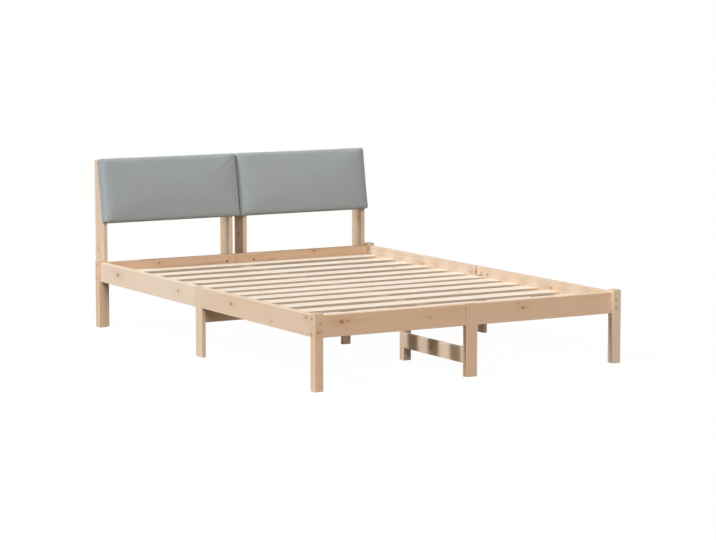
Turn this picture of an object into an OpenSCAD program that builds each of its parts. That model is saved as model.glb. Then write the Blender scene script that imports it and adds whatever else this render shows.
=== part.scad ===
// Double bed frame of pine with a cushioned headboard in two halves.
// X runs across the bed, +Y from the foot to the head, +Z up; the origin is on the
// floor, in the middle of the whole footprint. All sizes are in millimetres.

/* [Mattress bay] */
// Clear width between the side rails
inner_w = 1404; // [904:10:1804]
// Clear length between the foot legs and the head legs
inner_l = 2016; // [1800:4:2200]

/* [Legs] */
// Side of the square corner legs
leg_s = 38; // [34:1:60]
// How far the corner legs stand above the rails
leg_rise = 10; // [2:1:40]
// Width of the side mid legs along the rail
side_mid_w = 60; // [40:1:80]
// Thickness of the side mid legs
side_mid_t = 18; // [16:1:22]
// Width of the foot and head mid legs along the rail
end_mid_w = 53; // [44:1:70]

/* [Rails] */
// Height of the rails
rail_h = 90; // [84:1:130]
// Thickness of the rails
rail_t = 26; // [22:1:32]
// Height of the rails' lower edge above the floor
rail_z = 213; // [180:1:300]
// Open seam beside each mid leg
seam = 2; // [0.5:0.5:4]

/* [Slats] */
// Number of slats
slat_count = 13; // [9:1:14]
// Width of a slat
slat_w = 84; // [60:1:90]
// Thickness of a slat
slat_t = 12; // [10:1:18]
// Depth of the slats' tops below the rails' tops
slat_drop = 42; // [30:1:50]
// Free space at each end of a slat
slat_end_gap = 3; // [1:1:10]
// Gap between the last slat and the head rail
head_gap = 2; // [1:1:30]
// Gap between the first slat and the foot rail
foot_gap = 32; // [2:1:60]
// How much each pitch grows from the middle of the bed to its ends
pitch_step = 6; // [0:0.5:8]

/* [Under the slats] */
// Width and height of the cleats that carry the slats
cleat_s = 20; // [15:1:25]
// Free length at each end of a cleat
cleat_inset = 6; // [2:1:40]
// Height of the cross beam between the side mid legs
beam_h = 90; // [60:1:110]
// Space between the cross beam and the slats
beam_gap = 11; // [5:1:20]
// Width of the centre rails
centre_w = 38; // [30:1:50]
// Height of the centre rails
centre_h = 36; // [24:1:45]
// Width of the leg under the cross beam
beam_leg_w = 40; // [30:1:60]
// Depth of the leg under the cross beam
beam_leg_t = 20; // [14:1:26]
// Side of the square legs under the centre rails
prop_s = 36; // [24:1:44]
// Distance from the bed's foot to the leg under the foot centre rail
prop_y = 510; // [300:5:700]
// Distance of the low planks' left face from the bed's centre line
plank_x = 22; // [18:1:24]
// Thickness of the low planks
plank_t = 18; // [14:1:22]
// Height of the low planks
plank_h = 65; // [40:1:90]
// Height of the low planks' lower edge above the floor
plank_z = 54; // [20:1:80]

/* [Headboard posts] */
// Thickness of a post
post_t = 20; // [16:1:24]
// Depth of a post above the head rail
post_d = 92; // [80:1:120]
// Width of the ledge on which the head rail rests
ledge = 12; // [6:1:16]
// Clearance between the head mid leg and the inner posts
post_clear = 0.5; // [0.3:0.1:20]
// Height of the posts
post_h = 770; // [700:5:860]
// Height at which a post's front starts to lean back
lean_z = 465; // [420:5:500]
// Lean of the cushions and of the posts' fronts, in degrees
lean = 9.85; // [6:0.05:12]

/* [Cushions] */
// Distance up the lean from its start to the cushions' lower edge
pad_start = 15; // [5:1:30]
// How far the cushions reach past the tops of the posts, up the lean
pad_rise = 7.5; // [0:0.5:30]
// Thickness of a cushion at its rim, with its board
pad_t = 50; // [40:1:70]
// How far a cushion stands out past the outer post
pad_over = 4.5; // [1:0.5:10]
// Space between the two cushions
pad_gap = 2; // [1:0.5:6]
// Rise of the crown in the middle of a cushion
pad_crown = 5; // [2:0.5:12]
// Radius of the front edges and corners
pad_r = 12; // [8:1:16]
// How far the sides draw in between the corners
pad_pull = 2; // [0:0.5:5]
// Thickness of the padding round the edges of the board
pad_lip = 3; // [2:0.5:6]
// Distance of the boards' brackets from the cushions' lower and upper edges
panel_bracket_up = 60; // [30:5:110]
// Thickness of the board
board_t = 12; // [9:1:18]

/* [Fasteners] */
// Diameter of the bolts and of the joining studs
bolt_d = 6; // [5:1:8]
// Diameter of the bolt heads
head_d = 13; // [11:1:15]
// Thickness of the bolt heads
head_t = 3; // [2:0.5:5]
// Depth of the bolt heads below the legs' faces
cap_sink = 1; // [0.5:0.5:4]
// Diameter of the sleeves and of the barrel nuts
nut_d = 10; // [9:1:12]
// Length of the sleeves in the rails' ends
sleeve_l = 15; // [10:1:20]
// Length of a barrel nut
barrel_l = 12; // [10:1:14]
// Distance from the middle of a mid leg to a barrel nut
barrel_y = 72; // [60:1:90]
// Length of a joining stud
stud_l = 160; // [150:5:200]
// Heights of the two bolts of an end rail, from its lower and upper edge
end_bolt_low = 14; // [12:1:18]
end_bolt_top = 13; // [11:1:16]
// Heights of the two bolts of a side rail, from its lower and upper edge
side_bolt_low = 24.5; // [22:0.5:26]
side_bolt_top = 31.5; // [29:0.5:33]
// Heights of the two studs beside a mid leg, from the rail's lower and upper edge
stud_low = 9; // [6.5:0.5:10]
stud_top = 31; // [29:1:34]
// Diameter of the wooden dowels
dowel_d = 8; // [6:1:8]
// Length of the wooden dowels
dowel_l = 28; // [20:1:30]
// Diameter of the wood screws
screw_d = 3.6; // [3:0.1:4]
// Diameter of the wood screws' heads
screw_head_d = 7; // [6:0.5:8]
// Thickness of the wood screws' heads
screw_head_t = 1.6; // [1:0.1:2]
// Length of the screws in the slats
slat_screw_l = 26; // [20:1:28]
// Length of the screws in the cleats
cleat_screw_l = 36; // [30:1:42]
// Screws in each cleat
cleat_screws_n = 5; // [3:1:8]
// Length of the screws that hold the posts to the head rail
post_screw_l = 60; // [45:1:70]
// Height of the lower of these screws above the rail's lower edge
post_screw_low = 23; // [20:1:26]
// Distance between the two screws of a post
post_screw_pitch = 12; // [10:1:14]
// Length of the angle brackets' sides
bracket_a = 26; // [22:1:30]
// Width of the angle brackets
bracket_w = 16; // [12:1:18]
// Distance of a bracket's screws from its corner
bracket_hole = 17; // [14:1:18]
// Thickness of the angle brackets
bracket_t = 2; // [1.5:0.5:3]
// Length of the screws in the brackets
bracket_screw_l = 12; // [9:1:14]
// Clearance all round a fastener in its hole
fit_gap = 0.2; // [0.1:0.05:0.4]

/* [Hidden] */
$fn = 40;
pine = [0.86, 0.72, 0.55];
pale_pine = [0.93, 0.82, 0.66];
grey_cloth = [0.60, 0.63, 0.63];
board_wood = [0.78, 0.66, 0.48];
steel = [0.68, 0.69, 0.71];
beech = [0.82, 0.68, 0.48];

// Across the bed
half_in = inner_w / 2;
half_out = half_in + leg_s;
recess = leg_s - rail_t;
end_rail_l = (inner_w - end_mid_w - seam) / 2;
end_mid_x = -half_in + end_rail_l + seam;

// Along the bed, measured from the front of the foot legs
bed_l = inner_l + 2 * leg_s;
head_y = leg_s + inner_l;
rail_back = head_y + rail_t;
full_l = rail_back + post_d;
side_rail_l = (inner_l - side_mid_w - seam) / 2;
side_mid_y = leg_s + side_rail_l;
side_head_y = side_mid_y + side_mid_w + seam;
mid_y = side_mid_y + side_mid_w / 2;

// Heights
rail_top = rail_z + rail_h;
leg_h = rail_top + leg_rise;
slat_top = rail_top - slat_drop;
slat_z = slat_top - slat_t;
cleat_z = slat_z - cleat_s;
centre_z = slat_z - centre_h;

// Slats: the pitch is least in the middle and grows by pitch_step towards each end
mid_gap = floor(slat_count / 2) - 1;
function growth(k) = abs(k - mid_gap);
function sum_growth(k) = k < 0 ? 0 : growth(k) + sum_growth(k - 1);
pitch_min = (inner_l - slat_w - head_gap - foot_gap - pitch_step * sum_growth(slat_count - 2))
    / (slat_count - 1);
function slat_y(k) = leg_s + foot_gap + slat_w / 2 + k * pitch_min + pitch_step * sum_growth(k - 1);

// Beams and props
beam_z = slat_z - beam_gap - beam_h;
beam_y = mid_y - rail_t / 2;
beam_l = 2 * (half_out - recess - side_mid_t);
head_prop_y = 2 * mid_y - prop_y - prop_s;

// Headboard
lean_y = rail_back;
slope = tan(lean);
pad_len = (post_h - lean_z) / cos(lean) - pad_start + pad_rise;
post_gap = (end_mid_w + seam) / 2 + post_clear;
post_xs = [-half_in, -post_gap - post_t, post_gap, half_in - post_t];
pad_w = half_in + pad_over - pad_gap / 2;
pad_x = (half_in + pad_over + pad_gap / 2) / 2;
board_inset = pad_lip + fit_gap;

// Fasteners
bolt_r = bolt_d / 2;
hole_r = bolt_r + fit_gap;
cap_r = head_d / 2;
nut_r = nut_d / 2;
screw_r = screw_d / 2;
rail_mid = recess + rail_t / 2;
end_bolt_zs = [rail_z + end_bolt_low, rail_top - end_bolt_top];
side_bolt_zs = [rail_z + side_bolt_low, rail_top - side_bolt_top];
end_dowel_z = rail_z + rail_h / 2;
dowel_clear = 0.5;
side_dowel_z = end_dowel_z - dowel_d - dowel_clear;
stud_zs = [rail_z + stud_low, rail_top - stud_top];
post_screw_zs = [rail_z + post_screw_low, rail_z + post_screw_low + post_screw_pitch];
side_stud_x = recess + side_mid_t / 2;
plank_dowel_zs = [plank_z + plank_h / 4, plank_z + plank_h * 3 / 4];
bolt_l = leg_s - cap_sink - head_t + sleeve_l;
slat_screw_x = half_in - cleat_s / 2;

SLATS = ["slat_01", "slat_02", "slat_03", "slat_04", "slat_05", "slat_06", "slat_07", "slat_08",
    "slat_09", "slat_10", "slat_11", "slat_12", "slat_13", "slat_14"];
LEGS = ["foot_left_leg", "foot_right_leg", "head_left_leg", "head_right_leg",
    "left_mid_leg", "right_mid_leg", "foot_mid_leg", "head_mid_leg"];
RAILS = ["left_rail_foot", "left_rail_head", "right_rail_foot", "right_rail_head",
    "foot_rail_left", "foot_rail_right", "head_rail_left", "head_rail_right"];
POSTS = ["post_1", "post_2", "post_3", "post_4"];
PANELS = ["left_board", "right_board", "left_cushion", "right_cushion"];
UNDER = ["cleat_left_foot", "cleat_left_head", "cleat_right_foot", "cleat_right_head",
    "cross_beam", "beam_leg", "centre_rail_foot", "centre_rail_head",
    "prop_leg_foot", "prop_leg_head", "low_plank_foot", "low_plank_head"];
FIXINGS = ["corner_bolts", "bolt_sleeves", "joining_studs", "barrel_nuts", "wood_dowels",
    "slat_screws", "cleat_screws", "post_screws", "angle_brackets", "bracket_screws"];

// The parts are laid out from the foot; this puts the origin under the middle
module placed() {
    translate([0, -full_l / 2, 0]) children();
}

// A box from its low corner
module block(x, y, z, w, d, h) {
    translate([x, y, z]) cube([w, d, h]);
}

// Copies of the children at the right side, the left one mirrored
module both_sides() {
    children();
    mirror([1, 0, 0]) children();
}

// A round bar along X, Y or Z from a point
module bar_x(x, y, z, r, l) {
    translate([x, y, z]) rotate([0, 90, 0]) cylinder(r = r, h = l);
}
module bar_y(x, y, z, r, l) {
    translate([x, y, z]) rotate([-90, 0, 0]) cylinder(r = r, h = l);
}
module bar_z(x, y, z, r, l) {
    translate([x, y, z]) cylinder(r = r, h = l);
}

// Everything that runs across the bed at a corner, drawn with extra radius g.
// The corner is the left one; ya is the middle line of its end rail.
module corner_x_bolts(ya, g) {
    for (z = end_bolt_zs) {
        bar_x(-half_out + cap_sink - g, ya, z, cap_r + g, head_t + g);
        bar_x(-half_out + cap_sink, ya, z, bolt_r + g, head_t + bolt_l + g);
    }
}
module corner_x_sleeves(ya, g) {
    for (z = end_bolt_zs) bar_x(-half_in, ya, z, nut_r + g, sleeve_l + g);
}
module corner_x_dowels(ya, g) {
    bar_x(-half_in - dowel_l / 2 - g, ya, end_dowel_z, dowel_d / 2 + g, dowel_l + 2 * g);
}

// Everything that runs along the bed at a left corner. The bolts enter at the
// outer face y0 and run towards dir, which is 1 at the foot and -1 at the head.
module corner_y_bolts(y0, dir, g) {
    translate([-half_out + rail_mid, y0, 0]) mirror([0, dir < 0 ? 1 : 0, 0]) for (z = side_bolt_zs) {
        bar_y(0, cap_sink - g, z, cap_r + g, head_t + g);
        bar_y(0, cap_sink, z, bolt_r + g, head_t + bolt_l + g);
    }
}
module corner_y_sleeves(y0, dir, g) {
    translate([-half_out + rail_mid, y0, 0]) mirror([0, dir < 0 ? 1 : 0, 0])
        for (z = side_bolt_zs) bar_y(0, leg_s, z, nut_r + g, sleeve_l + g);
}
module corner_y_dowels(y0, dir, g) {
    translate([-half_out + rail_mid, y0, 0]) mirror([0, dir < 0 ? 1 : 0, 0])
        bar_y(0, leg_s - dowel_l / 2 - g, side_dowel_z, dowel_d / 2 + g, dowel_l + 2 * g);
}

// Middle lines of the foot rail and of the head rail
foot_mid_line = rail_mid;
head_mid_line = head_y + rail_t / 2;

// A mouth that opens a bolt's seat to the leg's face
module mouth_x(ya) {
    for (z = end_bolt_zs) bar_x(-half_out - 1, ya, z, cap_r + fit_gap, cap_sink + 2);
}
module mouth_y(y0, dir) {
    translate([-half_out + rail_mid, y0, 0]) mirror([0, dir < 0 ? 1 : 0, 0])
        for (z = side_bolt_zs) bar_y(0, -1, z, cap_r + fit_gap, cap_sink + 2);
}

// A left corner leg with its front at y0; ya is its end rail's middle line
module corner_leg(y0, ya, outer_y, dir) {
    color(pine) placed() difference() {
        block(-half_out, y0, 0, leg_s, leg_s, leg_h);
        corner_x_bolts(ya, fit_gap);
        mouth_x(ya);
        corner_x_dowels(ya, fit_gap);
        corner_y_bolts(outer_y, dir, fit_gap);
        mouth_y(outer_y, dir);
        corner_y_dowels(outer_y, dir, fit_gap);
    }
}
module foot_leg() {
    corner_leg(0, foot_mid_line, 0, 1);
}
module head_leg() {
    corner_leg(head_y, head_mid_line, bed_l, -1);
}

// Two studs through an end mid leg, and through a left side mid leg
module end_studs(yc, g) {
    xc = end_mid_x + end_mid_w / 2;
    for (z = stud_zs) bar_x(xc - stud_l / 2 - g, yc, z, bolt_r + g, stud_l + 2 * g);
}
module side_studs(g) {
    for (z = stud_zs) bar_y(-half_out + side_stud_x, mid_y - stud_l / 2 - g, z, bolt_r + g, stud_l + 2 * g);
}

// Barrel nut seats, drilled from the rails' inner faces: face_y is that face and
// dir points from it into the wood
module end_barrel_holes(face_y, dir, yc) {
    xc = end_mid_x + end_mid_w / 2;
    depth = abs(yc - face_y) + barrel_l / 2 + fit_gap;
    for (z = stud_zs, s = [-1, 1]) translate([xc + s * barrel_y, face_y, z])
        mirror([0, dir < 0 ? 1 : 0, 0]) bar_y(0, -1, 0, nut_r + fit_gap, depth + 1);
}
module side_barrel_holes() {
    depth = leg_s - side_stud_x + barrel_l / 2 + fit_gap;
    for (z = stud_zs, s = [-1, 1])
        bar_x(-half_in - depth, mid_y + s * barrel_y, z, nut_r + fit_gap, depth + 1);
}

// Mid legs
module left_mid() {
    color(pale_pine) placed() difference() {
        block(-half_out + recess, side_mid_y, 0, side_mid_t, side_mid_w, rail_top);
        side_studs(fit_gap);
        beam_bracket_holes();
    }
}
module end_mid(y0, face_y) {
    color(pine) placed() difference() {
        block(end_mid_x, y0, 0, end_mid_w, rail_t, rail_top);
        end_studs(y0 + rail_t / 2, fit_gap);
        for (z = plank_dowel_zs) plank_dowel(face_y, z, fit_gap);
        centre_bracket_holes();
    }
}

// A side rail half on the left, from y0
module side_rail_half(y0) {
    color(pine) placed() difference() {
        block(-half_out + recess, y0, rail_z, rail_t, side_rail_l, rail_h);
        corner_y_bolts(0, 1, fit_gap);
        corner_y_sleeves(0, 1, fit_gap);
        corner_y_dowels(0, 1, fit_gap);
        corner_y_bolts(bed_l, -1, fit_gap);
        corner_y_sleeves(bed_l, -1, fit_gap);
        corner_y_dowels(bed_l, -1, fit_gap);
        side_studs(fit_gap);
        side_barrel_holes();
        cleat_screw_set(y0, fit_gap);
    }
}

// A half of the foot or head rail, from x0; y0 is its front face
module end_rail_half(x0, y0, face_y, dir) {
    yc = y0 + rail_t / 2;
    color(pine) placed() difference() {
        block(x0, y0, rail_z, end_rail_l, rail_t, rail_h);
        both_sides() {
            corner_x_bolts(yc, fit_gap);
            corner_x_sleeves(yc, fit_gap);
            corner_x_dowels(yc, fit_gap);
        }
        end_studs(yc, fit_gap);
        end_barrel_holes(face_y, dir, yc);
        if (y0 == head_y) post_screw_set(fit_gap);
    }
}

// Slats and their screws
module slat_screw_set(k, g) {
    y = slat_screw_y(slat_y(k));
    for (s = [-1, 1]) {
        bar_z(s * slat_screw_x, y, slat_top - screw_head_t - g, screw_head_d / 2 + g,
            screw_head_t + (g > 0 ? g + 1 : 0));
        bar_z(s * slat_screw_x, y, slat_top - slat_screw_l - g, screw_r + g, slat_screw_l);
    }
}
// A screw sits on its slat's middle line, or beside the cross beam where that
// would be in its way
function slat_screw_y(y) =
    let (keep = rail_t / 2 + cleat_inset + screw_head_d)
    abs(y - mid_y) >= keep ? y : y < mid_y ? mid_y - keep : mid_y + keep;
module slat(k) {
    color(pale_pine) placed() difference() {
        block(-half_in + slat_end_gap, slat_y(k) - slat_w / 2, slat_z,
            inner_w - 2 * slat_end_gap, slat_w, slat_t);
        slat_screw_set(k, fit_gap);
    }
}

// Cleats under the slats' ends, from the corner legs to the cross beam
module cleat_screw_set(y0, g) {
    for (k = [0:cleat_screws_n - 1]) {
        translate([-half_in + cleat_s, cleat_screw_y(y0, k), cleat_z + cleat_s / 2]) rotate([0, -90, 0]) {
            translate([0, 0, g > 0 ? -1 : 0])
                cylinder(r = screw_head_d / 2 + g, h = screw_head_t + g + (g > 0 ? 1 : 0));
            cylinder(r = screw_r + g, h = cleat_screw_l + g);
        }
    }
}
// Screws sit halfway between two slats, so that they never meet a slat's screw
function cleat_screw_y(y0, k) =
    let (y = y0 + side_rail_l * (k + 0.5) / cleat_screws_n,
        gaps = [for (j = [0:slat_count - 2]) (slat_y(j) + slat_y(j + 1)) / 2],
        near = min([for (m = gaps) abs(m - y)]),
        hits = [for (m = gaps) if (abs(m - y) == near) m])
    hits[0];
module side_cleat(y0, y1) {
    color(pine) placed() difference() {
        block(-half_in, y0 + cleat_inset, cleat_z, cleat_s, y1 - y0 - 2 * cleat_inset, cleat_s);
        for (rail_y = [leg_s, side_head_y]) cleat_screw_set(rail_y, fit_gap);
        for (k = [0:slat_count - 1]) slat_screw_set(k, fit_gap);
    }
}

// Dowels at one end of a low plank, across the plane y = face_y
module plank_dowel(face_y, z, g) {
    bar_y(-plank_x + plank_t / 2, face_y - dowel_l / 2 - g, z, dowel_d / 2 + g, dowel_l + 2 * g);
}

// Angle brackets: each spot is an inner corner with the turn that brings the
// bracket's two plates onto the two faces
centre_spots = [[[0, leg_s, centre_z], [180, 0, 90]], [[0, beam_y, centre_z], [180, 0, -90]],
    [[0, beam_y + rail_t, centre_z], [180, 0, 90]], [[0, head_y, centre_z], [180, 0, -90]]];
prop_x = prop_s / 2 - plank_x;
prop_spots = [[[prop_x, prop_y + prop_s, centre_z], [180, 0, 90]],
    [[prop_x, head_prop_y, centre_z], [180, 0, -90]]];
beam_leg_spots = [[[beam_leg_w / 2, mid_y, beam_z], [180, 0, 0]]];
beam_end_spots = [[[-beam_l / 2, mid_y, beam_z + beam_h], [0, 0, 0]]];

module at_spots(spots) {
    for (p = spots) translate(p[0]) rotate(p[1]) children();
}
module bracket() {
    difference() {
        union() {
            block(0, -bracket_w / 2, 0, bracket_a, bracket_w, bracket_t);
            block(0, -bracket_w / 2, 0, bracket_t, bracket_w, bracket_a);
        }
        bar_z(bracket_hole, 0, -1, screw_r + fit_gap, bracket_t + 2);
        bar_x(-1, 0, bracket_hole, screw_r + fit_gap, bracket_t + 2);
    }
}
module bracket_screw_pair() {
    bar_z(bracket_hole, 0, bracket_t, screw_head_d / 2, screw_head_t);
    bar_z(bracket_hole, 0, bracket_t - bracket_screw_l, screw_r, bracket_screw_l);
    bar_x(bracket_t, 0, bracket_hole, screw_head_d / 2, screw_head_t);
    bar_x(bracket_t - bracket_screw_l, 0, bracket_hole, screw_r, bracket_screw_l);
}
module bracket_drill_pair() {
    bar_z(bracket_hole, 0, -bracket_screw_l, screw_r + fit_gap, bracket_screw_l + 1);
    bar_x(-bracket_screw_l, 0, bracket_hole, screw_r + fit_gap, bracket_screw_l + 1);
}
module centre_bracket_holes() {
    at_spots(centre_spots) bracket_drill_pair();
}
module beam_bracket_holes() {
    at_spots(beam_end_spots) bracket_drill_pair();
}

// Cross beam with the leg under it
module cross_beam() {
    color(pine) placed() difference() {
        block(-beam_l / 2, beam_y, beam_z, beam_l, rail_t, beam_h);
        both_sides() beam_bracket_holes();
        centre_bracket_holes();
        at_spots(beam_leg_spots) bracket_drill_pair();
    }
}
module beam_leg() {
    color(pine) placed() difference() {
        block(-beam_leg_w / 2, mid_y - beam_leg_t / 2, 0, beam_leg_w, beam_leg_t, beam_z);
        at_spots(beam_leg_spots) bracket_drill_pair();
    }
}

// Centre rails under the slats, their legs and the low planks
module centre_rail(y0, y1) {
    color(pine) placed() difference() {
        block(-centre_w / 2, y0, centre_z, centre_w, y1 - y0, centre_h);
        centre_bracket_holes();
        at_spots(prop_spots) bracket_drill_pair();
    }
}
module prop_leg(y0, face_y) {
    color(pine) placed() difference() {
        block(-plank_x, y0, 0, prop_s, prop_s, centre_z);
        at_spots(prop_spots) bracket_drill_pair();
        for (z = plank_dowel_zs) plank_dowel(face_y, z, fit_gap);
    }
}
module low_plank(y0, y1) {
    color(pine) placed() difference() {
        block(-plank_x, y0, plank_z, plank_t, y1 - y0, plank_h);
        for (z = plank_dowel_zs, y = [y0, y1]) plank_dowel(y, z, fit_gap);
    }
}

// Headboard posts, cut from a board: a ledge for the head rail below, and above
// it the front leans back to carry the cushions
module post_screw_set(g) {
    for (x = post_xs, z = post_screw_zs) {
        translate([x + post_t / 2, head_y, z]) {
            bar_y(0, g > 0 ? -1 : 0, 0, screw_head_d / 2 + g, screw_head_t + (g > 0 ? g + 1 : 0));
            bar_y(0, 0, 0, screw_r + g, post_screw_l + g);
        }
    }
}
module post(k) {
    color(pale_pine) placed() difference() {
        translate([post_xs[k], 0, 0]) rotate([90, 0, 90]) linear_extrude(post_t) polygon([
            [rail_back - ledge, 0], [rail_back - ledge, rail_z], [rail_back, rail_z],
            [rail_back, lean_z], [rail_back + (post_h - lean_z) * slope, post_h],
            [full_l, post_h], [full_l, 0]]);
        post_screw_set(fit_gap);
        panel_spots() bracket_drill_pair();
    }
}

// The headboard's leaning frame: X across, Y up the lean, Z out of the posts
module on_lean() {
    translate([0, lean_y + pad_start * sin(lean), lean_z + pad_start * cos(lean)])
        rotate([90 - lean, 0, 0]) children();
}
// Two brackets on one side face of each post
module panel_spots() {
    on_lean() for (k = [0:3], up = [panel_bracket_up, pad_len - panel_bracket_up]) {
        inner = k % 2;
        translate([post_xs[k] + (inner == 0 ? post_t : 0), up, 0])
            mirror([inner, 0, 0]) rotate([180, 0, 0]) children();
    }
}

// A board and its cushion; side is -1 at the left and 1 at the right
module board(side) {
    color(board_wood) placed() difference() {
        on_lean() block(side * pad_x - pad_w / 2 + board_inset, board_inset, 0,
            pad_w - 2 * board_inset, pad_len - 2 * board_inset, board_t);
        panel_spots() bracket_drill_pair();
    }
}

// The outline of a cushion, inset by i and drawn in by pull in the middle of its
// sides: a list of points that starts at the right of the lower side
arc_n = 4;
long_n = 8;
short_n = 4;
function side_pts(p, q, n, inward, pull) = [for (k = [1:n - 1])
    let (f = k / n) p + (q - p) * f + inward * pull * (1 - pow(2 * f - 1, 2))];
function arc_pts(c, r, a0) = [for (k = [0:arc_n])
    let (t = a0 + 90 * k / arc_n) c + r * [cos(t), sin(t)]];
function outline(i, pull) =
    let (a = pad_w / 2 - i, b = pad_len / 2 - i, r = max(pad_r - i, lip_round))
    concat(
        arc_pts([a - r, -b + r], r, -90), side_pts([a, -b + r], [a, b - r], short_n, [-1, 0], pull),
        arc_pts([a - r, b - r], r, 0), side_pts([a - r, b], [-a + r, b], long_n, [0, -1], pull),
        arc_pts([-a + r, b - r], r, 90), side_pts([-a, b - r], [-a, -b + r], short_n, [1, 0], pull),
        arc_pts([-a + r, -b + r], r, 180), side_pts([-a + r, -b], [a - r, -b], long_n, [0, 1], pull));

// Rings from the floor of the board's seat, round the lip and the front edge, to
// the crown: inset, height and share of the pull
seat = board_t + fit_gap;
lip_round = 1;
crown_flat = 12;
crown_span = pad_len / 2 - pad_r - crown_flat;
function crown_ring(f) = [pad_r + f * crown_span, pad_t + pad_crown * (1 - pow(1 - f, 2)), 1 - f];
RINGS = concat(
    [[pad_lip, seat, 0], [pad_lip, fit_gap, 0], [lip_round, fit_gap, 0],
        [0, lip_round + fit_gap, 0], [0, board_t, 0]],
    [for (q = [0:18:90]) [pad_r * (1 - cos(q)), pad_t - pad_r * (1 - sin(q)), 1]],
    [for (f = [0.12, 0.3, 0.6, 1]) crown_ring(f)]);
module cushion(side) {
    rings = [for (q = RINGS) [for (p = outline(q[0], q[2] * pad_pull)) [p[0], p[1], q[1]]]];
    n = len(rings[0]);
    m = len(rings);
    last = 1 + m * n;
    pts = concat([[0, 0, seat]], [for (r = rings, p = r) p], [[0, 0, pad_t + pad_crown]]);
    at = function (j, k) 1 + j * n + k % n;
    faces = concat(
        [for (k = [0:n - 1]) [0, at(0, k), at(0, k + 1)]],
        [for (j = [0:m - 2], k = [0:n - 1]) [at(j, k), at(j + 1, k), at(j + 1, k + 1)]],
        [for (j = [0:m - 2], k = [0:n - 1]) [at(j, k), at(j + 1, k + 1), at(j, k + 1)]],
        [for (k = [0:n - 1]) [at(m - 1, k), last, at(m - 1, k + 1)]]);
    color(grey_cloth) placed() on_lean() translate([side * pad_x, pad_len / 2, 0]) polyhedron(pts, faces);
}

// Fixings: each kind is one node, a group of separate solids
module corner_bolts() {
    color(steel) placed() both_sides() {
        corner_x_bolts(foot_mid_line, 0);
        corner_x_bolts(head_mid_line, 0);
        corner_y_bolts(0, 1, 0);
        corner_y_bolts(bed_l, -1, 0);
    }
}
module bolt_sleeves() {
    color(steel) placed() difference() {
        both_sides() {
            corner_x_sleeves(foot_mid_line, 0);
            corner_x_sleeves(head_mid_line, 0);
            corner_y_sleeves(0, 1, 0);
            corner_y_sleeves(bed_l, -1, 0);
        }
        both_sides() {
            corner_x_bolts(foot_mid_line, fit_gap);
            corner_x_bolts(head_mid_line, fit_gap);
            corner_y_bolts(0, 1, fit_gap);
            corner_y_bolts(bed_l, -1, fit_gap);
        }
    }
}
module joining_studs() {
    color(steel) placed() {
        end_studs(foot_mid_line, 0);
        end_studs(head_mid_line, 0);
        both_sides() side_studs(0);
    }
}
module barrel_nuts() {
    xc = end_mid_x + end_mid_w / 2;
    color(steel) placed() difference() {
        for (z = stud_zs, s = [-1, 1]) {
            for (yc = [foot_mid_line, head_mid_line])
                bar_y(xc + s * barrel_y, yc - barrel_l / 2, z, nut_r, barrel_l);
            both_sides()
                bar_x(-half_out + side_stud_x - barrel_l / 2, mid_y + s * barrel_y, z, nut_r, barrel_l);
        }
        end_studs(foot_mid_line, fit_gap);
        end_studs(head_mid_line, fit_gap);
        both_sides() side_studs(fit_gap);
    }
}
module wood_dowels() {
    color(beech) placed() {
        both_sides() {
            corner_x_dowels(foot_mid_line, 0);
            corner_x_dowels(head_mid_line, 0);
            corner_y_dowels(0, 1, 0);
            corner_y_dowels(bed_l, -1, 0);
        }
        for (z = plank_dowel_zs, y = [leg_s, prop_y, head_prop_y + prop_s, head_y]) plank_dowel(y, z, 0);
    }
}
module slat_screws() {
    color(steel) placed() for (k = [0:slat_count - 1]) slat_screw_set(k, 0);
}
module cleat_screws() {
    color(steel) placed() both_sides() for (y0 = [leg_s, side_head_y]) cleat_screw_set(y0, 0);
}
module post_screws() {
    color(steel) placed() post_screw_set(0);
}
module angle_brackets() {
    color(steel) placed() {
        at_spots(concat(centre_spots, prop_spots, beam_leg_spots)) bracket();
        both_sides() at_spots(beam_end_spots) bracket();
        panel_spots() bracket();
    }
}
module bracket_screws() {
    color(steel) placed() {
        at_spots(concat(centre_spots, prop_spots, beam_leg_spots)) bracket_screw_pair();
        both_sides() at_spots(beam_end_spots) bracket_screw_pair();
        panel_spots() bracket_screw_pair();
    }
}

for (k = [0:slat_count - 1]) slat(k);
foot_leg();  // foot_left_leg
mirror([1, 0, 0]) foot_leg();  // foot_right_leg
head_leg();  // head_left_leg
mirror([1, 0, 0]) head_leg();  // head_right_leg
left_mid();  // left_mid_leg
mirror([1, 0, 0]) left_mid();  // right_mid_leg
end_mid(recess, leg_s);  // foot_mid_leg
end_mid(head_y, head_y);  // head_mid_leg
side_rail_half(leg_s);  // left_rail_foot
side_rail_half(side_head_y);  // left_rail_head
mirror([1, 0, 0]) side_rail_half(leg_s);  // right_rail_foot
mirror([1, 0, 0]) side_rail_half(side_head_y);  // right_rail_head
end_rail_half(-half_in, recess, leg_s, -1);  // foot_rail_left
end_rail_half(half_in - end_rail_l, recess, leg_s, -1);  // foot_rail_right
end_rail_half(-half_in, head_y, head_y, 1);  // head_rail_left
end_rail_half(half_in - end_rail_l, head_y, head_y, 1);  // head_rail_right
post(0);  // post_1
post(1);  // post_2
post(2);  // post_3
post(3);  // post_4
board(-1);  // left_board
board(1);  // right_board
cushion(-1);  // left_cushion
cushion(1);  // right_cushion
side_cleat(leg_s, beam_y);  // cleat_left_foot
side_cleat(beam_y + rail_t, head_y);  // cleat_left_head
mirror([1, 0, 0]) side_cleat(leg_s, beam_y);  // cleat_right_foot
mirror([1, 0, 0]) side_cleat(beam_y + rail_t, head_y);  // cleat_right_head
cross_beam();
beam_leg();
centre_rail(leg_s, beam_y);  // centre_rail_foot
centre_rail(beam_y + rail_t, head_y);  // centre_rail_head
prop_leg(prop_y, prop_y);  // prop_leg_foot
prop_leg(head_prop_y, head_prop_y + prop_s);  // prop_leg_head
low_plank(leg_s, prop_y);  // low_plank_foot
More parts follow.
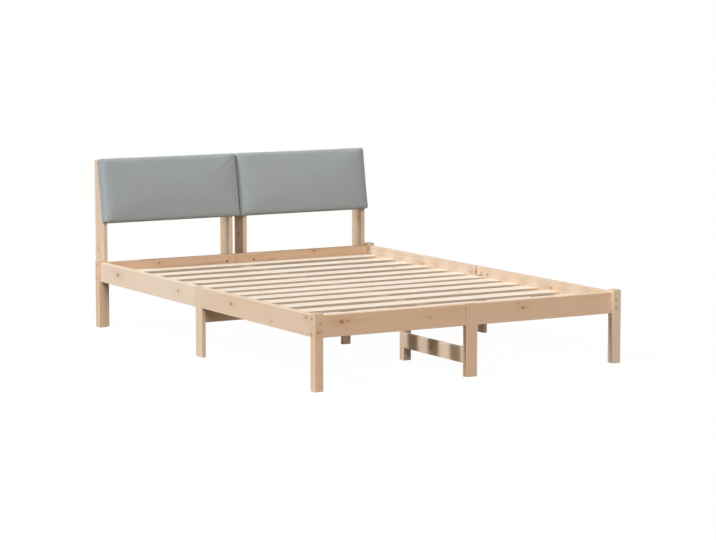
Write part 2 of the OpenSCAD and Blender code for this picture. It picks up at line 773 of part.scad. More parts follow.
low_plank(head_prop_y + prop_s, head_y);  // low_plank_head
corner_bolts();
bolt_sleeves();
joining_studs();
barrel_nuts();
wood_dowels();
slat_screws();
cleat_screws();
post_screws();
angle_brackets();
bracket_screws();
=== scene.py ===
"""Pine double bed frame with a leaning headboard in two cushioned halves."""

import math
import random

import bmesh
import bpy
import numpy as np
from bpy.props import FloatProperty, FloatVectorProperty, IntProperty, PointerProperty
from bpy.types import Operator, Panel, PropertyGroup
from mathutils import Matrix, Vector


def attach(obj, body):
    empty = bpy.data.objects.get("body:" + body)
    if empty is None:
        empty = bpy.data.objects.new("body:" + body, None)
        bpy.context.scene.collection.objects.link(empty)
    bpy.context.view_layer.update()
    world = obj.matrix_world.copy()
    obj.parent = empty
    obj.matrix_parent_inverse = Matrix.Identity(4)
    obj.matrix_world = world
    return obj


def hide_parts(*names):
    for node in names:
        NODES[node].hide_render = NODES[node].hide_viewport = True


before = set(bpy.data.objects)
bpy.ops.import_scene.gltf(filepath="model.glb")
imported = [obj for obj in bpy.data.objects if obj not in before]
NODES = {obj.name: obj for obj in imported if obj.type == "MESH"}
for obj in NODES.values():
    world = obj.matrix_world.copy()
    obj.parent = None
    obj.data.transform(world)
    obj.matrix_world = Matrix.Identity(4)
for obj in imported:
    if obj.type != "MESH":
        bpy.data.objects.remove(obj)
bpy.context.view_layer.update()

bl_info = {
    "name": "Pine bed frame",
    "version": (1, 0, 0),
    "blender": (4, 5, 0),
    "location": "View3D > Sidebar > Bed frame",
    "description": "Dresses a pine bed frame with wood, cloth and fittings",
    "category": "Object",
}

# The headboard's leaning frame: X across, Y up the lean, Z out of the posts
LEAN_DEGREES, LEAN_PLACE = 9.85, (0, 0.99657, 0.47978)
LEAN = Matrix.Translation(LEAN_PLACE) @ Matrix.Rotation(math.radians(90 - LEAN_DEGREES), 4, "X")

LEGS = ("foot_left_leg", "foot_right_leg", "head_left_leg", "head_right_leg")
SIDE_MIDS = ("left_mid_leg", "right_mid_leg")
END_MIDS = ("foot_mid_leg", "head_mid_leg")
SIDE_RAILS = ("left_rail_foot", "left_rail_head", "right_rail_foot", "right_rail_head")
END_RAILS = ("foot_rail_left", "foot_rail_right", "head_rail_left", "head_rail_right")
SLATS = tuple(sorted(n for n in NODES if n.startswith("slat_") and n[5:].isdigit()))
POSTS = ("post_1", "post_2", "post_3", "post_4")
UNDER = (
    "cleat_left_foot", "cleat_left_head", "cleat_right_foot", "cleat_right_head",
    "cross_beam", "beam_leg", "centre_rail_foot", "centre_rail_head",
    "prop_leg_foot", "prop_leg_head", "low_plank_foot", "low_plank_head",
)
BOARDS = ("left_board", "right_board")
CUSHIONS = ("left_cushion", "right_cushion")
HIDDEN_STEEL = ("bolt_sleeves", "joining_studs")
# The half rail in the slats' paler wood
PALE_RAIL = "left_rail_head"
# Painted shade on some boards: how much darker and rougher their planed faces are made, where a clean face
# has 0 and a sawn end 1; the darkening stands in for shade that falls on these boards
PAINTED_SHADE = {
    "head_rail_left": 1.1, "head_rail_right": 1.1, "head_mid_leg": 1.1, "left_rail_head": 0.35,
    "right_rail_foot": 0.4, "right_rail_head": 0.4, "head_left_leg": 0.3,
    "post_2": 0.7, "post_3": 0.7, "post_4": 0.7,
}

# Knots on the boards, in metres in the bed's frame: place along the board, place
# across its wide face, radius; a fourth value puts the knot on the narrow faces
KNOTS = {
    "foot_rail_left": ((-0.612, 0.2704, 0.0085), (-0.584, 0.2735, 0.004), (-0.200, 0.2585, 0.0035)),
    "foot_rail_right": ((0.252, 0.2685, 0.0065), (0.231, 0.286, 0.003)),
    "head_rail_left": ((-0.43, 0.283, 0.005), (-0.21, 0.24, 0.003)),
    "head_rail_right": ((0.401, 0.295, 0.006), (0.17, 0.262, 0.004)),
    "left_rail_head": ((0.782, 0.2654, 0.010), (0.159, 0.2622, 0.006)),
    "left_rail_foot": ((-0.344, 0.2643, 0.008), (-0.993, 0.2887, 0.007), (-0.70, 0.236, 0.004)),
    "right_rail_foot": ((-0.62, 0.27, 0.007), (-0.25, 0.245, 0.004)),
    "right_rail_head": ((-0.012, 0.2758, 0.005), (0.45, 0.262, 0.008)),
    "foot_left_leg": ((0.238, -0.724, 0.0065, "narrow"),),
    "right_mid_leg": ((0.272, -0.050, 0.006),),
    "post_3": ((0.39, 1.046, 0.007), (0.62, 1.03, 0.005)),
    "post_1": ((0.36, 1.05, 0.006),),
    "post_4": ((0.44, 1.02, 0.008), (0.17, 1.06, 0.006)),
    "slat_04": ((0.31, -0.49, 0.007),),
    "slat_07": ((-0.42, -0.03, 0.006), (0.12, -0.06, 0.004)),
    "slat_10": ((0.52, 0.42, 0.008),),
    "slat_12": ((-0.22, 0.76, 0.006),),
    "low_plank_foot": ((-0.8, 0.09, 0.007),),
    "cross_beam": ((0.3, 0.2, 0.009), (-0.4, 0.18, 0.006)),
}
# How many knots a board can have, and what stands for each that it hasn't
KNOT_SLOTS = 3
NO_KNOT = (9.0, 9.0, 0.001)

# Least and greatest warmth of each kind of board, from 0, the palest, to 1; the first row that names a
# board counts. The warmth of the end rails and end mid legs is partly painted shade, for their faces
# towards foot and head, which get less light
TONES_AND_SHADE = (
    (END_RAILS + END_MIDS, 0.80, 0.95),
    (("left_rail_foot", "right_rail_foot"), 0.28, 0.38),
    (("left_rail_head",), 0.50, 0.60),
    (("right_rail_head",), 0.0, 0.08),
    (("foot_right_leg",), 0.0, 0.05),
    (LEGS, 0.5, 0.65),
    (SLATS, 0.0, 0.14),
    (SIDE_MIDS + POSTS, 0.15, 0.35),
    (("low_plank_foot", "low_plank_head", "prop_leg_foot", "prop_leg_head"), 0.1, 0.3),
    (UNDER, 0.4, 0.8),
    (BOARDS, 0.2, 0.6),
)


# ---------------- settings

# What the settings of one kind share
COLOUR = {"subtype": "COLOR", "size": 3, "min": 0, "max": 1}
LENGTH = {"subtype": "DISTANCE", "unit": "LENGTH"}
ANGLE = {"subtype": "ANGLE", "unit": "ROTATION"}


class WoodSettings(PropertyGroup):
    early: FloatVectorProperty(
        name="Early wood", description="Colour of the wide pale part of a growth ring",
        default=(0.83, 0.745, 0.63), **COLOUR)
    late: FloatVectorProperty(
        name="Late wood", description="Colour of the narrow dark part of a growth ring",
        default=(0.72, 0.565, 0.42), **COLOUR)
    pale_early: FloatVectorProperty(
        name="Pale early wood", description="Early wood of the slats and posts",
        default=(0.905, 0.868, 0.787), **COLOUR)
    pale_late: FloatVectorProperty(
        name="Pale late wood", description="Late wood of the slats and posts",
        default=(0.87, 0.79, 0.68), **COLOUR)
    knot: FloatVectorProperty(
        name="Knots", description="Colour in the middle of a knot", default=(0.29, 0.13, 0.055), **COLOUR)
    ring: FloatProperty(
        name="Ring spacing", description="Mean distance between two growth rings",
        default=0.0034, min=0.001, max=0.01, **LENGTH)
    ease: FloatProperty(
        name="Eased edges", description="Radius on the long edges of the boards",
        default=0.0022, min=0.0005, max=0.006, **LENGTH)
    end_ease: FloatProperty(
        name="Eased ends", description="Radius on the edges of the sawn ends",
        default=0.0009, min=0.0002, max=0.003, **LENGTH)


class ClothSettings(PropertyGroup):
    colour: FloatVectorProperty(
        name="Cloth", description="Colour of the cushions' cloth", default=(0.400, 0.455, 0.494), **COLOUR)
    thread: FloatProperty(
        name="Thread pitch", description="Distance between two threads of the weave",
        default=0.0011, min=0.0004, max=0.004, **LENGTH)
    voxel: FloatProperty(
        name="Mesh size", description="Edge length of the mesh that is simulated",
        default=0.006, min=0.004, max=0.01, **LENGTH)
    front: FloatProperty(
        name="Front radius", description="Radius of the cushions' front edges and corners",
        default=0.012, min=0.004, max=0.02, **LENGTH)
    fall: FloatProperty(
        name="Fall at the rim", description="How far the front falls away towards its rim",
        default=0.011, min=0, max=0.02, **LENGTH)
    belly: FloatProperty(
        name="Belly", description="How far the padding hangs out below the middle",
        default=0.006, min=0, max=0.012, **LENGTH)
    pull: FloatProperty(
        name="Drawn-in sides", description="How far a cushion's sides draw in between its corners",
        default=0.002, min=0, max=0.01, **LENGTH)
    pressure: FloatProperty(
        name="Pressure", description="Pressure of the padding on the cloth", default=4.0, min=0, max=20)
    frames: IntProperty(
        name="Steps", description="Steps of the simulation", default=20, min=1, max=60)
    cap: FloatProperty(
        name="Largest swell", description="How far a point of the cloth may move",
        default=0.0055, min=0, max=0.03, **LENGTH)


class MetalSettings(PropertyGroup):
    # Painted shade: the barrel nuts are near black, standing in for the shade of the deep holes they sit in
    nut_shade_colour: FloatVectorProperty(
        name="Barrel nuts", description="Colour of the barrel nuts", default=(0.11, 0.075, 0.055), **COLOUR)
    colour: FloatVectorProperty(
        name="Zinc", description="Colour of the bolts, screws and brackets",
        default=(0.49, 0.37, 0.265), **COLOUR)
    socket: FloatProperty(
        name="Hexagon socket", description="Width across the flats of the bolts' sockets",
        default=0.004, min=0.002, max=0.006, **LENGTH)


class StageSettings(PropertyGroup):
    camera_place: FloatVectorProperty(
        name="Camera place", description="Where the camera stands",
        subtype="TRANSLATION", unit="LENGTH", size=3, default=(-5.4871, -9.6004, 1.6796))
    camera_yaw: FloatProperty(
        name="Camera yaw", description="Turn of the camera from the bed's length",
        default=math.radians(30.138), **ANGLE)
    camera_pitch: FloatProperty(
        name="Camera pitch", description="How far the camera looks down",
        default=math.radians(6.976), **ANGLE)
    lens: FloatProperty(
        name="Lens", description="Focal length in millimetres on a 36 mm sensor",
        default=126.0, min=20, max=300)
    sky: FloatProperty(
        name="Room light", description="Strength of the even light from all sides",
        default=0.15, min=0, max=3)
    sky_tint: FloatVectorProperty(
        name="Room tint", description="Colour of the even light", default=(1.0, 0.84, 0.68), **COLOUR)
    key: FloatProperty(
        name="Key light", description="Strength of the lamp at the left, as a share of full light",
        default=0.865, min=0, max=5)
    key_way: FloatVectorProperty(
        name="Way to the key light", description="Direction in which the key light stands",
        subtype="DIRECTION", size=3, default=(-0.70, 0.035, 0.70))
    key_softness: FloatProperty(
        name="Key softness", description="Angle that the key light takes up",
        default=math.radians(9), **ANGLE)
    fill: FloatProperty(
        name="Fill light", description="Strength of the lamp in front, as a share of full light",
        default=0.575, min=0, max=5)
    fill_way: FloatVectorProperty(
        name="Way to the fill light", description="Direction in which the fill light stands",
        subtype="DIRECTION", size=3, default=(-0.22, -0.84, 0.48))
    fill_softness: FloatProperty(
        name="Fill softness", description="Angle that the fill light takes up",
        default=math.radians(28), **ANGLE)
    fill_tint: FloatVectorProperty(
        name="Fill tint", description="Colour of the fill light", default=(1.0, 0.93, 0.865), **COLOUR)


# ---------------- materials

def adjust(thing, **settings):
    """Sets each named setting of a thing to its value."""
    for key, value in settings.items():
        setattr(thing, key, value)
    return thing


class Nodes:
    """Short names for building the nodes of a material or of the world."""

    def __init__(self, owner):
        owner.use_nodes = True
        self.tree = owner.node_tree
        self.tree.nodes.clear()

    def node(self, kind, **settings):
        return adjust(self.tree.nodes.new(kind), **settings)

    def link(self, source, target):
        """Links one socket to another, or sets the target to a plain value."""
        if isinstance(source, bpy.types.NodeSocket):
            self.tree.links.new(source, target)
        else:
            target.default_value = source

    def maths(self, operation, first, second=0.0):
        made = self.node("ShaderNodeMath", operation=operation)
        self.link(first, made.inputs[0])
        self.link(second, made.inputs[1])
        return made.outputs[0]

    def add(self, first, second):
        return self.maths("ADD", first, second)

    def times(self, first, second):
        return self.maths("MULTIPLY", first, second)

    def glow(self, kind, colour, strength):
        """An emission or a background of one colour."""
        made = self.node(kind)
        made.inputs["Color"].default_value = (*colour, 1)
        made.inputs["Strength"].default_value = strength
        return made

    def show(self, output, lit, shown, share, *also):
        """Camera rays and the other kinds named meet a share of what is shown, the rest what is lit."""
        rays = self.node("ShaderNodeLightPath").outputs
        seen = rays["Is Camera Ray"]
        for kind in also:
            seen = self.maths("MAXIMUM", seen, rays[kind])
        both = self.node("ShaderNodeMixShader")
        self.link(self.times(seen, share), both.inputs[0])
        self.link(lit.outputs[0], both.inputs[1])
        self.link(shown.outputs[0], both.inputs[2])
        self.link(both.outputs[0], output.inputs[0])


class Shader(Nodes):
    """The nodes of one material."""

    def __init__(self, name):
        self.material = bpy.data.materials.new(name)
        super().__init__(self.material)
        self.surface = self.node("ShaderNodeBsdfPrincipled")
        self.output = self.node("ShaderNodeOutputMaterial")
        self.link(self.surface.outputs[0], self.output.inputs[0])

    def vector(self, operation, first, second):
        made = self.node("ShaderNodeVectorMath", operation=operation)
        self.link(first, made.inputs[0])
        self.link(second, made.inputs[1])
        return made.outputs[0]

    def length(self, vector, shares):
        """The length of a vector, each part of it first multiplied by its share."""
        made = self.node("ShaderNodeVectorMath", operation="LENGTH")
        self.link(self.vector("MULTIPLY", vector, shares), made.inputs[0])
        return made.outputs["Value"]

    def parts(self, vector):
        made = self.node("ShaderNodeSeparateXYZ")
        self.link(vector, made.inputs[0])
        return made.outputs

    def attribute(self, name, output="Vector"):
        return self.node("ShaderNodeAttribute", attribute_name=name).outputs[output]

    def place(self):
        return self.node("ShaderNodeTexCoord").outputs["Object"]

    def noise(self, vector, scale, detail, rough=0.5):
        """Noise from about -0.5 to 0.5, with its own scale along each axis."""
        made = self.node("ShaderNodeTexNoise")
        self.link(self.vector("MULTIPLY", vector, scale), made.inputs["Vector"])
        made.inputs["Scale"].default_value = 1.0
        made.inputs["Detail"].default_value = detail
        made.inputs["Roughness"].default_value = rough
        return self.maths("SUBTRACT", made.outputs[0], 0.5)

    def remap(self, value, low, high, to_low=0.0, to_high=1.0, smooth=False):
        made = self.node("ShaderNodeMapRange", interpolation_type="SMOOTHSTEP" if smooth else "LINEAR")
        for socket, item in zip(made.inputs, (value, low, high, to_low, to_high)):
            self.link(item, socket)
        return made.outputs[0]

    def ramp(self, value, stops):
        """A colour, or a grey given as one number, for each place between 0 and 1."""
        made = self.node("ShaderNodeValToRGB")
        elements = made.color_ramp.elements
        while len(elements) < len(stops):
            elements.new(0.5)
        for element, (position, colour) in zip(elements, stops):
            element.position = position
            element.color = (*colour, 1) if hasattr(colour, "__len__") else (colour, colour, colour, 1)
        self.link(value, made.inputs[0])
        return made.outputs[0]

    def mix(self, share, first, second, blend="MIX"):
        made = self.node("ShaderNodeMix", data_type="RGBA", blend_type=blend)
        for socket, item in ((made.inputs[0], share), (made.inputs[6], first), (made.inputs[7], second)):
            if hasattr(item, "__len__"):
                item = (*item[:3], 1)
            self.link(item, socket)
        return made.outputs[2]

    def stain(self, share, colour, tint):
        return self.mix(share, colour, tint, "MULTIPLY")

    def bump(self, height, strength, distance):
        made = self.node("ShaderNodeBump")
        made.inputs["Strength"].default_value = strength
        made.inputs["Distance"].default_value = distance
        self.link(height, made.inputs["Height"])
        self.link(made.outputs[0], self.surface.inputs["Normal"])

    def set(self, **values):
        for key, value in values.items():
            self.link(value, self.surface.inputs[key.replace("_", " ")])


def shade(colour, share):
    """The colour times a share, no channel above 1."""
    return tuple(min(1.0, c * share) for c in colour)


# Stains of the pine, the warm one partly painted shade; the colour of its sawn ends, also used as painted
# shade on shaded faces; and the colour of its worn edges
ROSY, STRAW = (0.97, 0.80, 0.74), (0.98, 0.94, 0.80)
STREAK, FIBRE, CANAL = (0.62, 0.40, 0.24), (0.66, 0.48, 0.32), (0.50, 0.30, 0.16)
WARM_AND_SHADE, HALO, SAWN_AND_SHADE, WORN = (0.98, 0.86, 0.76), (0.86, 0.64, 0.44), (0.63, 0.54, 0.46), (1.0, 0.93, 0.82)
# How dark a growth ring is from its inner side, 0, to its outer side, 1
RING_DARKNESS = ((0.0, 0.05), (0.42, 0.12), (0.74, 0.55), (0.90, 1.0), (0.97, 0.75), (1.0, 0.05))
# How far the rings wander and shiver, in metres
RING_WARP, RING_SHIVER = 0.012, 0.0012
# Rings of a knot outside its middle, from 0, the middle, to 1, the rim
KNOT_RINGS = ((0.52, (0.44, 0.20, 0.085)), (0.72, (0.33, 0.14, 0.055)), (0.93, (0.14, 0.052, 0.02)))
# Thickness of two plies in metres
PLIES = 0.0026


def pine_material(name, early, late, knot, ring, rosy, figure):
    """Planed pine: growth rings round a pith outside the board, fibres and knots."""
    s = Shader(name)
    grain = s.attribute("grain")
    radius = s.length(s.attribute("pith"), (1, 1, 0))
    warp = s.times(s.noise(grain, (1.3, 8, 8), 3), RING_WARP)
    shiver = s.times(s.noise(grain, (14, 90, 90), 2), RING_SHIVER)
    radius = s.add(radius, s.add(warp, shiver))
    # The rings run round each knot, which is ragged at its rim
    near_knot, inside_knot, knot_rings = 0.0, 0.0, 0.0
    for slot in range(KNOT_SLOTS):
        offset = s.attribute("knot_%d" % slot)
        size = s.parts(offset)["Z"]
        pushed = s.maths("DIVIDE", s.length(offset, (0.42, 1.0, 0)), size)
        bulge = s.remap(pushed, 0.6, 4.2, 1.0, 0.0, smooth=True)
        radius = s.add(radius, s.times(s.times(bulge, size), 0.9))
        near_knot = s.maths("MAXIMUM", near_knot, bulge)
        ragged = s.times(s.noise(grain, (160, 160, 40), 2), 0.35)
        true = s.add(s.maths("DIVIDE", s.length(offset, (0.8, 1.0, 0)), size), ragged)
        inside = s.remap(true, 0.78, 1.05, 1.0, 0.0, smooth=True)
        inside_knot = s.maths("MAXIMUM", inside_knot, inside)
        knot_rings = s.add(knot_rings, s.times(inside, true))
    rings = s.ramp(s.maths("FRACT", s.maths("DIVIDE", radius, ring)), RING_DARKNESS)
    presence = s.remap(s.noise(grain, (2.2, 26, 26), 2), -0.28, 0.28, 0.32, 1.0)
    rings = s.times(rings, presence)
    colour = s.mix(s.times(rings, figure), early, late)
    # Slow drift between rosy and straw tones, then streaks and fibres along the grain
    drift = s.noise(grain, (1.1, 7, 7), 2)
    colour = s.stain(s.remap(drift, -0.25, 0.25, 0, rosy), colour, ROSY)
    straw = s.noise(s.vector("ADD", grain, (7.3, 1.9, 4.1)), (1.7, 11, 11), 2)
    colour = s.stain(s.remap(straw, -0.05, 0.28, 0, 0.4), colour, STRAW)
    streak = s.noise(grain, (2.6, 95, 95), 3, 0.6)
    colour = s.stain(s.remap(streak, -0.3, 0.3, 0.5 * figure, 0.0), colour, STREAK)
    fibre = s.noise(grain, (22, 1100, 1100), 2)
    colour = s.stain(s.remap(fibre, -0.3, 0.3, 0.33 * figure, 0.0), colour, FIBRE)
    canals = s.noise(s.vector("ADD", grain, (3.1, 8.2, 5.5)), (55, 1500, 1500), 1)
    colour = s.stain(s.remap(canals, 0.235, 0.27, 0.0, 0.35), colour, CANAL)
    # Warmth of each board, partly painted shade on the end rails and end mid legs
    colour = s.stain(s.attribute("tone", "Fac"), colour, WARM_AND_SHADE)
    # Knots with a warm halo
    colour = s.stain(s.times(near_knot, 0.34), colour, HALO)
    wood_of_knot = s.ramp(knot_rings, ((0.0, shade(knot, 0.7)), (0.30, tuple(knot)), *KNOT_RINGS))
    colour = s.mix(s.times(inside_knot, 0.72), colour, wood_of_knot)
    # Sawn ends are darker and rougher, eased edges a little paler; the same darkening is painted shade on
    # the planed faces of shaded boards and on the slats' narrow faces
    end = s.attribute("sawn_end_and_shade", "Fac")
    colour = s.stain(s.times(end, 0.38), colour, SAWN_AND_SHADE)
    worn = s.remap(s.noise(grain, (24, 60, 60), 2), -0.2, 0.25, 0.0, 0.5)
    colour = s.mix(s.times(s.attribute("eased", "Fac"), worn), colour, WORN)
    rough = s.add(s.remap(fibre, -0.35, 0.35, 0.50, 0.66), s.times(end, 0.14))
    height = s.add(s.times(fibre, 0.55), s.times(rings, 0.30))
    height = s.add(height, s.times(s.noise(grain, (9, 70, 70), 2), 0.5))
    height = s.maths("SUBTRACT", height, s.times(inside_knot, 0.35))
    s.bump(height, 0.35, 0.0006)
    s.set(Base_Color=colour, Roughness=rough, Specular_IOR_Level=0.32)
    return s.material


def turned_wood_material(name, colour):
    """Beech of the dowels."""
    s = Shader(name)
    fleck = s.noise(s.place(), (300, 300, 60), 3)
    s.bump(fleck, 0.2, 0.0003)
    s.set(Base_Color=s.mix(s.remap(fleck, -0.3, 0.3), colour, shade(colour, 0.72)),
          Roughness=s.remap(fleck, -0.3, 0.3, 0.5, 0.65))
    return s.material


def plywood_material(name):
    """Raw plywood: flat-cut veneer on the faces and plies on the edges."""
    s = Shader(name)
    grain = s.attribute("grain")
    figure = s.noise(grain, (1.4, 13, 5), 3, 0.6)
    lines = s.maths("FRACT", s.times(s.add(figure, s.noise(grain, (6, 60, 20), 2)), 6.0))
    colour = s.mix(s.ramp(lines, ((0, 0.0), (0.7, 0.5), (0.92, 1.0), (1.0, 0.0))),
                   (0.66, 0.47, 0.28), (0.50, 0.33, 0.18))
    fibre = s.noise(grain, (18, 900, 900), 2)
    colour = s.stain(s.remap(fibre, -0.3, 0.3, 0.3, 0.0), colour, (0.6, 0.44, 0.3))
    depth = s.maths("DIVIDE", s.parts(grain)["Z"], PLIES)
    plies = s.remap(s.maths("FRACT", depth), 0.45, 0.55, smooth=True)
    edge = s.attribute("sawn_end_and_shade", "Fac")
    colour = s.stain(s.times(edge, s.times(plies, 0.6)), colour, (0.42, 0.28, 0.17))
    s.bump(s.add(fibre, figure), 0.25, 0.0005)
    s.set(Base_Color=colour, Roughness=s.remap(fibre, -0.3, 0.3, 0.55, 0.72), Specular_IOR_Level=0.3)
    return s.material


def cloth_material(name, colour, thread):
    """Plain woven upholstery cloth with slubs and a soft nap."""
    s = Shader(name)
    weave = s.attribute("weave")
    wander = s.noise(weave, (60, 60, 60), 2)
    waves = []
    for part in s.parts(weave):
        turn = s.add(s.maths("DIVIDE", part, thread / (2 * math.pi)), s.times(wander, 2.4))
        waves.append(s.maths("SINE", turn))
    knit = s.add(s.times(waves[0], waves[1]), s.times(waves[1], waves[2]))
    knit = s.add(knit, s.times(waves[0], waves[2]))
    warp = s.noise(weave, (30, 800, 800), 2)
    weft = s.noise(s.vector("ADD", weave, (3, 5, 8)), (800, 30, 800), 2)
    slub = s.add(warp, weft)
    tint = s.mix(s.remap(slub, -0.45, 0.45), shade(colour, 0.90), shade(colour, 1.10))
    tint = s.mix(s.remap(knit, -1.2, 1.2, 0.20, 0.0), tint, shade(colour, 0.45))
    cool = s.noise(s.vector("ADD", weave, (11, 2, 6)), (5, 5, 5), 2)
    tint = s.stain(s.remap(cool, -0.25, 0.25, 0.0, 0.30), tint, (0.90, 0.98, 1.0))
    fluff = s.noise(weave, (2100, 2100, 2100), 2)
    height = s.add(s.times(knit, 0.55), s.add(slub, s.times(fluff, 0.4)))
    s.bump(height, 0.55, 0.0005)
    s.set(Base_Color=tint, Roughness=s.remap(slub, -0.4, 0.4, 0.82, 0.96), Specular_IOR_Level=0.18,
          Sheen_Weight=0.25, Sheen_Roughness=0.45)
    return s.material


def zinc_material(name, colour):
    """Zinc-plated steel with fine scratches and matt patches."""
    s = Shader(name)
    place = s.place()
    patches = s.noise(place, (260, 260, 260), 3)
    scratch = s.noise(place, (2600, 180, 900), 2)
    tint = s.mix(s.remap(patches, -0.3, 0.3), shade(colour, 0.78), shade(colour, 1.12))
    s.bump(s.add(scratch, s.times(patches, 0.5)), 0.2, 0.0002)
    s.set(Base_Color=tint, Metallic=1.0, Roughness=s.remap(s.add(patches, scratch), -0.5, 0.5, 0.28, 0.48))
    return s.material


MATERIALS = {}


def material(key, context):
    """The finish of that name, made the first time it is asked for."""
    if key not in MATERIALS:
        scene = context.scene
        wood, cloth, metal = scene.bed_wood, scene.bed_cloth, scene.bed_metal
        MATERIALS[key] = {
            "pine": lambda: pine_material(
                "pine", wood.early, wood.late, wood.knot, wood.ring, rosy=0.42, figure=0.42),
            "pale_pine": lambda: pine_material(
                "pale_pine", wood.pale_early, wood.pale_late, wood.knot, wood.ring, rosy=0.20, figure=0.28),
            "beech": lambda: turned_wood_material("beech", (0.62, 0.42, 0.24)),
            "plywood": lambda: plywood_material("plywood"),
            "cloth": lambda: cloth_material("grey_cloth", cloth.colour, cloth.thread),
            "zinc": lambda: zinc_material("zinc", metal.colour),
            "shaded_zinc": lambda: zinc_material("shaded_zinc", metal.nut_shade_colour),
        }[key]()
    return MATERIALS[key]


# ---------------- modelling

def deselect():
    if bpy.context.mode != "OBJECT":
        bpy.ops.object.mode_set(mode="OBJECT")
    bpy.ops.object.select_all(action="DESELECT")


def activate(piece):
    deselect()
    piece.select_set(True)
    bpy.context.view_layer.objects.active = piece


def dress(piece, finish):
    piece.data.materials.clear()
    piece.data.materials.append(finish)


def add_object(name, data):
    made = bpy.data.objects.new(name, data)
    bpy.context.scene.collection.objects.link(made)
    return made


def add_box(middle, size):
    """A plain box as a new active object."""
    deselect()
    bpy.ops.mesh.primitive_cube_add(size=1, location=middle, scale=size)
    apply_place()
    return bpy.context.object


def apply_place():
    bpy.ops.object.transform_apply(location=True, rotation=True, scale=True)


def apply_modifier(piece, kind, **settings):
    """Gives the piece a modifier with these settings and applies it."""
    activate(piece)
    made = adjust(piece.modifiers.new(kind.lower(), kind), **settings)
    bpy.ops.object.modifier_apply(modifier=made.name)


def combine(piece, other, operation, solver):
    """Takes the other object out of the piece, or joins it on, and deletes it."""
    apply_modifier(piece, "BOOLEAN", operation=operation, solver=solver, object=other)
    bpy.data.objects.remove(other)


def select_edges(piece, test):
    """In edit mode, selects the edges that pass the test and nothing else."""
    bpy.ops.mesh.select_mode(type="EDGE")
    bpy.ops.mesh.select_all(action="DESELECT")
    shape = bmesh.from_edit_mesh(piece.data)
    for edge in shape.edges:
        if test(edge):
            edge.select_set(True)
    shape.select_flush(True)
    bmesh.update_edit_mesh(piece.data)


def copy_of_node(node, name):
    """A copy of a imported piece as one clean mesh: doubles merged, flat faces joined."""
    mesh = NODES[node].data.copy()
    mesh.name = name
    piece = add_object(name, mesh)
    activate(piece)
    bpy.ops.object.mode_set(mode="EDIT")
    bpy.ops.mesh.select_all(action="SELECT")
    bpy.ops.mesh.remove_doubles(threshold=0.00001)
    bpy.ops.mesh.customdata_custom_splitnormals_clear()
    bpy.ops.mesh.dissolve_limited(angle_limit=math.radians(1.0))
    bpy.ops.object.mode_set(mode="OBJECT")
    return piece


def corners(piece):
    points = np.zeros(len(piece.data.vertices) * 3, np.float32)
    piece.data.vertices.foreach_get("co", points)
    return points.reshape(-1, 3)


def write_corners(piece, points):
    piece.data.vertices.foreach_set("co", np.asarray(points, np.float32).ravel())
    piece.data.update()


def put_attribute(piece, name, values, domain="POINT"):
    """Stores a number or a vector for each point, edge or face."""
    values = np.asarray(values, np.float32)
    kind, key = ("FLOAT", "value") if values.ndim == 1 else ("FLOAT_VECTOR", "vector")
    piece.data.attributes.new(name, kind, domain).data.foreach_set(key, values.ravel())


def board_axes(points):
    """The axes along, across the wide face and through a board, from its box."""
    thick, wide, along = np.argsort(points.max(0) - points.min(0))
    return along, wide, thick


def folds(mesh):
    """The angle between the two faces at each edge, or None where there aren't two."""
    faces_of = {}
    for face in mesh.polygons:
        for key in face.edge_keys:
            faces_of.setdefault(key, []).append(face)
    angles = []
    for edge in mesh.edges:
        sides = faces_of.get(tuple(sorted(edge.vertices)), ())
        angles.append(sides[0].normal.angle(sides[1].normal) if len(sides) == 2 else None)
    return angles


def bevel_edges(piece, weights, **settings):
    """Bevels the edges, each by its weight from 0 to 1."""
    put_attribute(piece, "bevel_weight_edge", weights, "EDGE")
    apply_modifier(piece, "BEVEL", limit_method="WEIGHT", **settings)


def ease_edges(piece, along, long_radius, end_radius):
    """Rounds the board's own edges, and keeps the rims of its holes as they are and sharp."""
    hole_edge, lengthwise, rim_fold, flat_fold = 0.006, 0.9, math.radians(30), math.radians(4)
    mesh = piece.data
    points = corners(piece)
    weights = np.zeros(len(mesh.edges), np.float32)
    rims = np.zeros(len(mesh.edges), bool)
    for number, (edge, fold) in enumerate(zip(mesh.edges, folds(mesh))):
        run = points[edge.vertices[1]] - points[edge.vertices[0]]
        length = np.linalg.norm(run)
        if fold is None or length < hole_edge:
            rims[number] = fold is None or fold > rim_fold
        elif fold >= flat_fold:
            weights[number] = 1.0 if abs(run[along]) > lengthwise * length else end_radius / long_radius
    activate(piece)
    bpy.ops.object.shade_smooth()
    sharp = mesh.attributes.get("sharp_edge") or mesh.attributes.new("sharp_edge", "BOOLEAN", "EDGE")
    sharp.data.foreach_set("value", rims)
    bevel_edges(piece, weights, width=long_radius, segments=3, use_clamp_overlap=False, harden_normals=True)


# Where a board's pith lies: aside in widths of the board, beyond its face in metres, and
# how far it leans over the board's length
PITH_ASIDE, LEG_PITH_ASIDE, PITH_BEYOND = (-0.6, 0.6), (1.1, 1.6), (0.012, 0.055)
PITH_LEAN_WIDE, PITH_LEAN_THICK = (-0.006, 0.006), (-0.008, 0.008)
# How much of its normal a face has along an axis that it looks along, that it is square to
# and, for an eased edge, that it just leans to
FACING, SQUARE, LEANING = 0.9, 0.97, 0.05
# Painted shade between the slats: how dark the slats' narrow faces are made, on the scale where a sawn end
# has 1; it stands in for the shade in the gaps between them
SLAT_GAP_SHADE = 2.0


